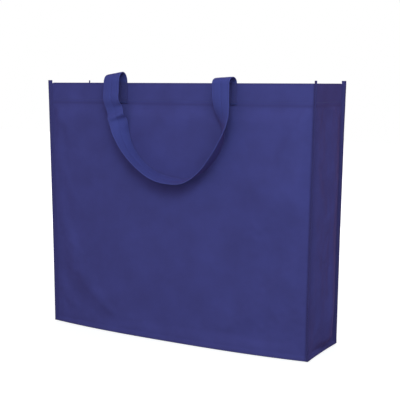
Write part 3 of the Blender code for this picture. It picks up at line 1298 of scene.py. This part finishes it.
    def build(self) -> bpy.types.Object:
        """Build the strap.

        Returns:
            The piece.
        """
        sheet = SheetMesh()
        section = self._section()
        spin = self.wall.wall.spin
        rings = []
        length = 0.0
        for index, (middle, width, outward) in enumerate(self.frames):
            if index:
                length += (middle - self.frames[index - 1][0]).length
            sewn = min(index, len(self.frames) - 1 - index) / self.sewn_steps
            # painted shade on the sewn ends; the cut ends are worn
            rings.append([
                sheet.add(spin @ (middle + width * u + outward * (v - self._dent(index, u))),
                          (place, length), wear if sewn > 1.0 else (-self.sewn_end_shade if sewn else 1.0))
                for u, v, place, wear in section
            ])
        for start, end in zip(rings, rings[1:]):
            for corner in range(len(section)):
                after = (corner + 1) % len(section)
                sheet.faces.append((start[corner], start[after], end[after], end[corner]))
        sheet.faces += [tuple(reversed(rings[0])), tuple(rings[-1])]
        piece = sheet.build(f"{self.node}_strap", 0.0, self.finish.material())
        face_outwards(piece)
        declare(piece, self.finish.slot, self.node)
        return piece

    def seam_lines(self) -> list[StitchLine]:
        """Lay out the two rows of stitches along the strap.

        Returns:
            Lines on both faces.
        """
        spin = self.wall.wall.spin
        lines = []
        for side in (-1.0, 1.0):
            u = side * (self.width / 2 - self.seam_inset)
            for face in Face:
                v = face.value * (self.thickness / 2 - self._relief(abs(u), False))
                lines.append([(spin @ (middle + width * u + outward * (v - self._dent(index, u))),
                               spin @ outward * face.value)
                              for index, (middle, width, outward) in enumerate(self.frames)])
        return lines

    def box_lines(self) -> list[StitchLine]:
        """Lay out the boxes with crosses that sew the strap's ends to the hem.

        Returns:
            Lines on the strap's outer face and on the inside of the hem.
        """
        form, spin = self.form, self.wall.wall.spin
        half = self.width / 2 - self.seam_inset
        low = form.hem_edge + self.end_clearance + self.box_low
        high = form.height + min(self.crest_start, 0.0) - self.box_high
        outside = self.sewn + self.thickness / 2
        inside = form.half_depth - 2 * form.sheet_offset - form.cloth / 2
        lines = []
        for middle in (-self.reach, self.reach):
            corners = [(x, z) for x in (middle - half, middle + half) for z in (low, high)]
            for away, out in ((outside, -1.0), (inside, 1.0)):
                way = spin @ Vector((0.0, out, 0.0))
                spots = [(spin @ Vector((x, -away, z)), way) for x, z in corners]
                lines += [[spots[start], spots[end]] for start, end in self.BOX_STROKES]
        return lines


def face_outwards(piece: bpy.types.Object) -> None:
    """Turn a closed piece's faces outwards if its volume comes out negative.

    Args:
        piece: the piece.
    """
    mesh = piece.data
    mesh.calc_loop_triangles()
    volume = 0.0
    for triangle in mesh.loop_triangles:
        a, b, c = (mesh.vertices[index].co for index in triangle.vertices)
        volume += a.dot(b.cross(c))
    if volume < 0.0:
        mesh.flip_normals()


@dataclass
class Stitching:
    """Rows of lock stitches, laid along lines by a Geometry Nodes tree."""

    name: str
    lines: list[StitchLine]
    slot: str
    thread: ThreadFinish = ThreadFinish()
    pitch: float = 0.0031
    stitch: float = 0.0026
    radius: float = 0.00021
    sink: float = 0.00010

    UP_NAME = "way_out"
    TREE_NAME = "lock_stitches"
    INPUTS = (("Geometry", "Geometry"), ("Pitch", "Float"), ("Length", "Float"), ("Radius", "Float"),
              ("Sink", "Float"), ("Thread", "Material"))
    OUTPUTS = (("Geometry", "Geometry"),)
    STEPS = 6
    SIDES = 6
    TAPER = 0.6
    DIVE = 1.6

    def build(self) -> bpy.types.Object:
        """Lay the stitches and return them as one plain mesh.

        Returns:
            The piece.
        """
        points: list[Vector] = []
        edges: list[tuple[int, int]] = []
        ways: list[float] = []
        for line in self.lines:
            first = len(points)
            for spot, way in line:
                points.append(spot)
                ways.extend(way)
            edges.extend((number, number + 1) for number in range(first, len(points) - 1))
        mesh = bpy.data.meshes.new(self.name)
        mesh.from_pydata(points, edges, [])
        mesh.attributes.new(self.UP_NAME, "FLOAT_VECTOR", "POINT").data.foreach_set("vector", ways)
        piece = add_object(self.name, mesh)
        sewn = piece.modifiers.new("stitches", "NODES")
        sewn.node_group = self._tree()
        values = {"Pitch": self.pitch, "Length": self.stitch, "Radius": self.radius, "Sink": self.sink,
                  "Thread": self.thread.material()}
        for item in sewn.node_group.interface.items_tree:
            if item.in_out == "INPUT" and item.name in values:
                sewn[item.identifier] = values[item.name]
        plain(piece)
        piece.data.shade_smooth()
        declare(piece, self.slot)
        return piece

    @classmethod
    def _tree(cls) -> bpy.types.NodeTree:
        """Build the tree that turns lines into stitches, or return it if it is already there.

        Returns:
            The Geometry Nodes tree.
        """
        made = bpy.data.node_groups.get(cls.TREE_NAME)
        if made:
            return made
        nodes = Nodes.group(cls.TREE_NAME, "GeometryNodeTree", cls.INPUTS, cls.OUTPUTS)
        given = nodes.add("NodeGroupInput").outputs

        # One stitch: a short thread along X, thinner at its ends and bent down into the cloth
        half = nodes.math("MULTIPLY", given["Length"], 0.5)
        start, end = (nodes.add("ShaderNodeCombineXYZ", {"X": nodes.math("MULTIPLY", half, sign)})
                      for sign in (-1.0, 1.0))
        core = nodes.add("GeometryNodeCurvePrimitiveLine", {"Start": start, "End": end})
        core = nodes.add("GeometryNodeResampleCurve", {"Curve": core, "Count": cls.STEPS})
        along = nodes.add("GeometryNodeSplineParameter").outputs["Factor"]
        centred = nodes.math("SUBTRACT", nodes.math("MULTIPLY", along, 2.0), 1.0)
        squared = nodes.math("MULTIPLY", centred, centred)
        fourth = nodes.math("MULTIPLY", squared, squared)
        taper = nodes.math("SUBTRACT", 1.0, nodes.math("MULTIPLY", fourth, cls.TAPER))
        dive = nodes.math("MULTIPLY", nodes.math("MULTIPLY", fourth, given["Radius"]), -cls.DIVE)
        offset = nodes.add("ShaderNodeCombineXYZ", {"Z": dive})
        core = nodes.add("GeometryNodeSetPosition", {"Geometry": core, "Offset": offset})
        radius = nodes.math("MULTIPLY", taper, given["Radius"])
        core = nodes.add("GeometryNodeSetCurveRadius", {"Curve": core, "Radius": radius})
        ring = nodes.add("GeometryNodeCurvePrimitiveCircle", {"Resolution": cls.SIDES, "Radius": 1.0})
        stitch = nodes.add("GeometryNodeCurveToMesh", {
            "Curve": core, "Profile Curve": ring, "Fill Caps": True,
            "Scale": nodes.add("GeometryNodeInputRadius")})

        # The row: points at the pitch along each line, each turned along it and out of the cloth
        row = nodes.add("GeometryNodeMeshToCurve", {"Mesh": given["Geometry"]})
        row = nodes.add("GeometryNodeResampleCurve", {"Curve": row, "Length": given["Pitch"]}, mode="LENGTH")
        way = nodes.add("GeometryNodeInputNamedAttribute", {"Name": cls.UP_NAME}, data_type="FLOAT_VECTOR")
        way = way.outputs["Attribute"]
        turned = nodes.add("FunctionNodeAlignRotationToVector", {"Vector": way}, axis="Z")
        turned = nodes.add("FunctionNodeAlignRotationToVector", {
            "Rotation": turned, "Vector": nodes.add("GeometryNodeInputTangent")}, axis="X", pivot_axis="Z")
        lift = nodes.math("SUBTRACT", given["Radius"], given["Sink"])
        raised = nodes.add("ShaderNodeVectorMath", {0: way, "Scale": lift}, operation="SCALE")
        row = nodes.add("GeometryNodeSetPosition", {"Geometry": row, "Offset": raised})
        sewn = nodes.add("GeometryNodeInstanceOnPoints", {
            "Points": row, "Instance": stitch, "Rotation": turned})
        sewn = nodes.add("GeometryNodeRealizeInstances", {0: sewn})
        sewn = nodes.add("GeometryNodeSetMaterial", {"Geometry": sewn, "Material": given["Thread"]})
        nodes.add("NodeGroupOutput", {0: sewn})
        return nodes.tree


@dataclass
class SeamStitches:
    """Lines of the stitches that hold the panels: along the hem, and along every fin."""

    form: BagForm
    walls: dict[Wall, ClothWall]
    hem_inset: float = 0.0045
    fin_share: float = 0.50
    step: float = 0.006
    top_inset: float = 0.002

    def hem_lines(self) -> list[StitchLine]:
        """Lay out the rows along the hem's lower edge.

        Returns:
            Lines on the outside and the inside of every wall.
        """
        form = self.form
        height = form.hem_edge + self.hem_inset
        outer, inner = form.cloth / 2, -2 * form.sheet_offset - form.cloth / 2
        lines = []
        for wall in self.walls.values():
            span = float(form.span(wall.wall, height)) - form.hem_end_inset
            places = np.linspace(-span, span, max(int(2 * span / self.step), 2))
            for lift, sign in ((outer, 1.0), (inner, -1.0)):
                spots = [wall.point(float(place), height, lift) for place in places]
                lines.append([(spot, out * sign) for spot, out in spots])
        return lines

    def fin_lines(self) -> list[StitchLine]:
        """Lay out the rows along the four upright fins and round the bottom.

        Returns:
            Lines on both sides of each fin.
        """
        form = self.form
        heights = np.arange(form.wall_foot, form.height + form.tab_rise - self.top_inset, self.step)
        lines = []
        for wall in self.walls:
            seam = [(Vector((float(half), -float(depth), float(height))),
                     form.fin_sway(wall.corner, float(height)) * self.fin_share)
                    for height, half, depth in
                    zip(heights, form.span(wall, heights), form.distance(wall, heights))]
            lines += self._both_sides(wall, seam, (1.0, -1.0, 0.0), (1.0, 1.0, 0.0))
            half = float(form.span(wall, form.seam_height)) - form.fold_inset
            depth = float(form.distance(wall, form.seam_height))
            seam = []
            for share in np.linspace(-1.0, 1.0, max(int(2 * half / self.step), 2)):
                bow = form.base_bow[wall] * (1 - abs(share) ** form.roundness)
                seam.append((Vector((share * half, -depth - bow, form.seam_height)), 0.0))
            lines += self._both_sides(wall, seam, (0.0, -1.0, -1.0), (0.0, -1.0, 1.0))
        return lines

    def _both_sides(self, wall: Wall, seam: list[tuple[Vector, float]], along: Triple,
                    across: Triple) -> list[StitchLine]:
        """Lay out the two rows of a fin.

        Args:
            wall: the wall at whose edge the fin is.
            seam: points of the seam that it stands out from, each with the fin's sway.
            along: way out from the seam in the fin's plane.
            across: way across the fin.

        Returns:
            A line on each side of the fin.
        """
        away = self.form.sheet_offset + self.form.cloth / 2
        out = Vector(along) * DIAGONAL * self.form.allowance * self.fin_share
        aside = Vector(across) * DIAGONAL
        return [[(wall.spin @ (spot + out + aside * (sign * away + sway)), wall.spin @ aside * sign)
                 for spot, sway in seam] for sign in (-1.0, 1.0)]


@dataclass(frozen=True)
class SoftLight:
    """A soft square light: its place, what it points at, its side, its watts and its colour."""

    name: str
    place: Triple
    aim: Triple
    size: float
    power: float
    colour: Triple

    def build(self) -> None:
        """Add the light."""
        data = bpy.data.lights.new(self.name, "AREA")
        data.size = self.size
        data.energy = self.power
        data.color = self.colour
        turn = (Vector(self.aim) - Vector(self.place)).to_track_quat("-Z", "Y")
        add_object(self.name, data).matrix_world = Matrix.LocRotScale(self.place, turn, None)


@dataclass
class Studio:
    """Pale floor, soft lights and the camera at the photograph's place."""

    lights: tuple[SoftLight, ...]
    azimuth: float = 29.976
    elevation: float = 7.403
    roll: float = 0.187
    place: Triple = (0.6386, -1.0783, 0.3511)
    lens: float = 81.55
    sensor: float = 36.0
    floor_size: float = 8.0
    floor_drop: float = 0.0006
    floor_grey: float = 0.40
    shade_near: float = 0.30
    shade_far: float = 0.75
    glow_near: float = 0.78
    glow_far: float = 1.0
    surround: Triple = (1.0, 0.84, 0.93)
    surround_strength: float = 0.46
    backdrop: Triple = (1.0, 1.0, 1.0)

    def build(self) -> None:
        """Set up the whole studio."""
        bpy.context.scene.view_settings.view_transform = "Standard"
        self._camera()
        self._world()
        self._floor()
        for light in self.lights:
            light.build()

    def _camera(self) -> None:
        """Place the camera."""
        data = bpy.data.cameras.new("camera")
        data.lens = self.lens
        data.sensor_width = self.sensor
        camera = add_object("camera", data)
        azimuth, elevation = math.radians(self.azimuth), math.radians(self.elevation)
        level = math.cos(elevation)
        back = Vector((math.sin(azimuth) * level, -math.cos(azimuth) * level, math.sin(elevation)))
        right = (-back).cross(Vector((0.0, 0.0, 1.0))).normalized()
        up = right.cross(-back)
        turned = Matrix((right, up, back)).transposed() @ Matrix.Rotation(math.radians(self.roll), 3, "Z")
        camera.matrix_world = Matrix.Translation(self.place) @ turned.to_4x4()
        bpy.context.scene.camera = camera

    @staticmethod
    def _seen_directly(nodes: Nodes) -> bpy.types.Node:
        """Add the share of the rays that see the background directly or in a reflection.

        Args:
            nodes: the node tree.

        Returns:
            The node that gives the share.
        """
        rays = nodes.add("ShaderNodeLightPath").outputs
        seen = nodes.math("MAXIMUM", rays["Is Camera Ray"], rays["Is Glossy Ray"])
        return nodes.math("MAXIMUM", seen, rays["Is Transmission Ray"])

    def _world(self) -> None:
        """A white surround for the camera, and a softer one for the light."""
        world = bpy.data.worlds.new("surround")
        bpy.context.scene.world = world
        world.use_nodes = True
        world.node_tree.nodes.clear()
        nodes = Nodes(world.node_tree)
        soft = nodes.add("ShaderNodeBackground", {
            "Color": self.surround, "Strength": self.surround_strength})
        white = nodes.add("ShaderNodeBackground", {"Color": self.backdrop})
        both = nodes.add("ShaderNodeMixShader", {0: self._seen_directly(nodes), 1: soft, 2: white})
        nodes.add("ShaderNodeOutputWorld", {0: both})

    def _floor(self) -> None:
        """A wide pale floor that keeps the bag's shadow and turns white away from it."""
        half, down = self.floor_size / 2, -self.floor_drop
        mesh = bpy.data.meshes.new("floor")
        corners = [(-half, -half, down), (half, -half, down), (half, half, down), (-half, half, down)]
        mesh.from_pydata(corners, [], [(0, 1, 2, 3)])
        material = bpy.data.materials.new("pale_floor")
        material.use_nodes = True
        material.node_tree.nodes.clear()
        mesh.materials.append(material)
        nodes = Nodes(material.node_tree)
        matt = nodes.add("ShaderNodeBsdfDiffuse", {"Color": (self.floor_grey,) * 3})
        place = nodes.add("ShaderNodeTexCoord").outputs["Object"]
        away = nodes.add("ShaderNodeVectorMath", {0: place}, operation="LENGTH").outputs["Value"]
        fade = nodes.add("ShaderNodeMapRange", {
            "Value": away, "From Min": self.shade_near, "From Max": self.shade_far,
            "To Min": self.glow_near, "To Max": self.glow_far}, interpolation_type="SMOOTHSTEP")
        bright = nodes.math("MULTIPLY", self._seen_directly(nodes), fade)
        glow = nodes.add("ShaderNodeEmission", {"Strength": bright})
        both = nodes.add("ShaderNodeAddShader", {0: matt, 1: glow})
        nodes.add("ShaderNodeOutputMaterial", {0: both})
        add_object("floor", mesh)


# Each pressed colour is the painted shade of folds, seams and the strap's sewn ends.
CLOTH = ClothFinish(
    name="non_woven_cloth",
    slot="cloth",
    deep=(0.0495, 0.0480, 0.173),
    plain=(0.0570, 0.0570, 0.210),
    worn=(0.062, 0.069, 0.245),
    pressed=(0.042, 0.038, 0.136),
)
STRAP_CLOTH = ClothFinish(
    name="strap_cloth",
    slot="strap",
    deep=(0.050, 0.055, 0.208),
    plain=(0.053, 0.060, 0.226),
    worn=(0.064, 0.073, 0.260),
    pressed=(0.045, 0.042, 0.150),
)

LIGHTS = (
    SoftLight("key", (0.50, -0.96, 0.94), (0.05, 0.0, 0.22), 0.46, 7.1, (0.66, 0.94, 0.98)),
    SoftLight("front_right", (1.25, -1.10, 0.85), (0.10, 0.0, 0.22), 1.0, 7.4, (0.84, 0.94, 1.0)),
    SoftLight("front_fill", (0.10, -1.90, 0.40), (0.0, 0.0, 0.15), 1.5, 7.2, (0.92, 0.95, 1.0)),
    SoftLight("rear_fill", (-0.90, 1.60, 1.10), (0.0, 0.0, 0.20), 0.8, 17.0, (0.95, 0.98, 1.0)),
)

FRONT_BULGES = (
    SoftBulge(across=0.155, height=0.216, reach_across=0.060, reach_up=0.052, rise=0.0095),
    SoftBulge(across=0.150, height=0.035, reach_across=0.070, reach_up=0.100, rise=-0.0045),
    SoftBulge(across=0.010, height=0.200, reach_across=0.050, reach_up=0.026, rise=0.0012, lean=0.20),
    SoftBulge(across=0.020, height=0.262, reach_across=0.045, reach_up=0.030, rise=-0.0008),
    SoftBulge(across=-0.158, height=0.190, reach_across=0.022, reach_up=0.060, rise=0.0012),
    SoftBulge(across=-0.095, height=0.130, reach_across=0.045, reach_up=0.075, rise=0.0010, lean=-0.15),
    SoftBulge(across=0.045, height=0.115, reach_across=0.035, reach_up=0.045, rise=0.0009),
)
BACK_BULGES = (
    SoftBulge(across=-0.060, height=0.190, reach_across=0.080, reach_up=0.070, rise=0.0020),
    SoftBulge(across=0.110, height=0.110, reach_across=0.060, reach_up=0.060, rise=-0.0015),
)
SIDE_BULGES = (
    SoftBulge(across=0.012, height=0.200, reach_across=0.019, reach_up=0.140, rise=0.0046),
    SoftBulge(across=0.011, height=0.042, reach_across=0.022, reach_up=0.055, rise=0.0080),
    SoftBulge(across=0.002, height=0.120, reach_across=0.0035, reach_up=0.060, rise=-0.0008, lean=0.03),
    SoftBulge(across=0.013, height=0.090, reach_across=0.006, reach_up=0.070, rise=0.0014, lean=0.04),
    SoftBulge(across=-0.017, height=0.070, reach_across=0.006, reach_up=0.060, rise=0.0013, lean=-0.05),
    SoftBulge(across=0.028, height=0.075, reach_across=0.004, reach_up=0.060, rise=-0.0009, lean=0.03),
)

# Loops of the straps: place across as a share of the reach, fall below the mouth as a share
# of the drop, distance of the strap's middle from its sewn part as a share of what it has where
# it hangs edge on, and turn of its width out of the wall's plane in degrees
FRONT_LOOP = (
    (-1.000, 0.080, 1.42, 0.0),
    (-1.000, 0.160, 1.49, 0.0),
    (-0.985, 0.240, 1.41, 0.0),
    (-0.948, 0.320, 1.15, 10.0),
    (-0.915, 0.420, 0.98, 36.0),
    (-0.860, 0.550, 0.97, 62.0),
    (-0.720, 0.715, 0.97, 78.0),
    (-0.480, 0.865, 0.99, 82.0),
    (-0.200, 0.965, 1.00, 78.0),
    (0.090, 1.000, 1.00, 76.0),
    (0.370, 0.985, 1.00, 78.0),
    (0.640, 0.880, 1.00, 84.0),
    (0.860, 0.710, 1.00, 86.0),
    (0.985, 0.545, 1.00, 74.0),
    (1.015, 0.400, 1.04, 44.0),
    (1.008, 0.260, 1.24, 16.0),
    (1.000, 0.140, 1.36, 3.0),
)
REAR_LOOP = (
    (-1.000, 0.120, 0.22, 0.0),
    (-0.998, 0.230, 0.35, 4.0),
    (-0.985, 0.350, 0.64, 24.0),
    (-0.935, 0.480, 0.84, 46.0),
    (-0.830, 0.640, 0.91, 58.0),
    (-0.600, 0.830, 0.98, 62.0),
    (-0.260, 0.970, 1.01, 62.0),
    (0.040, 1.000, 1.01, 62.0),
    (0.330, 0.955, 1.01, 62.0),
    (0.640, 0.800, 0.98, 62.0),
    (0.850, 0.610, 0.91, 58.0),
    (0.945, 0.450, 0.82, 44.0),
    (0.990, 0.330, 0.59, 22.0),
    (1.000, 0.220, 0.35, 4.0),
    (1.000, 0.120, 0.22, 0.0),
)
FRONT_CREASES = (
    StrapCrease(side=-1.0, height=0.3055, reach=0.0042, depth=0.0050, bias=0.35, lean=0.0010),
    StrapCrease(side=-1.0, height=0.3160, reach=0.0075, depth=-0.0030, bias=0.2),
    StrapCrease(side=-1.0, height=0.2950, reach=0.0090, depth=0.0026, bias=1.0),
    StrapCrease(side=1.0, height=0.3010, reach=0.0060, depth=0.0008, bias=0.5),
)


def dress_walls(form: BagForm) -> dict[Wall, ClothWall]:
    """Settle the walls as cloth and build their sheets.

    Args:
        form: the bag's sizes.

    Returns:
        The walls by name.
    """
    front_roll = HemRoll(rise=0.0062, rise_right=0.0048)
    walls = {
        Wall.FRONT: ClothWall(form, Wall.FRONT, CLOTH, FRONT_BULGES, front_roll),
        Wall.BACK: ClothWall(form, Wall.BACK, CLOTH, BACK_BULGES, HemRoll(rise=0.0014)),
        Wall.RIGHT: ClothWall(form, Wall.RIGHT, CLOTH, SIDE_BULGES, columns=30),
        Wall.LEFT: ClothWall(form, Wall.LEFT, CLOTH, SIDE_BULGES, columns=30),
    }
    SewnShell(list(walls.values())).settle()
    for wall in walls.values():
        report(wall.build())
    return walls


def dress_handles(form: BagForm, walls: dict[Wall, ClothWall]) -> list[StrapHandle]:
    """Build both straps.

    Args:
        form: the bag's sizes.
        walls: the walls that they are sewn to.

    Returns:
        The straps.
    """
    front = StrapHandle(
        form, walls[Wall.FRONT], "front_handle", STRAP_CLOTH, stand=0.0205, crest_start=0.0,
        legs=(StrapLeg(0.0125, 0.16), StrapLeg(0.0070, -0.06)), drop=0.129, loop=FRONT_LOOP,
        creases=FRONT_CREASES)
    rear = StrapHandle(
        form, walls[Wall.BACK], "rear_handle", STRAP_CLOTH, stand=0.0028, crest_start=-0.0036,
        legs=(StrapLeg(0.0020), StrapLeg(0.0020)), drop=0.134, loop=REAR_LOOP)
    for handle in (front, rear):
        report(handle.build())
    return [front, rear]


def report(piece: bpy.types.Object) -> None:
    """Log a finished piece and its size."""
    LOG.info("%s: %d faces", piece.name, len(piece.data.polygons))


def main() -> None:
    """Build the bag's looks and the studio around it."""
    logging.basicConfig(level=logging.INFO, format="%(name)s %(message)s")
    form = BagForm()
    walls = dress_walls(form)
    report(BagBottom(form, CLOTH).build())
    handles = dress_handles(form, walls)
    seams = SeamStitches(form, walls)
    report(Stitching("hem_stitches", seams.hem_lines(), "cloth").build())
    report(Stitching("fin_stitches", seams.fin_lines(), "cloth").build())
    for handle in handles:
        name = f"{handle.node}_stitches"
        report(Stitching(name, handle.seam_lines() + handle.box_lines(), "strap").build())
    Studio(LIGHTS).build()


if __name__ == "__main__":
    main()
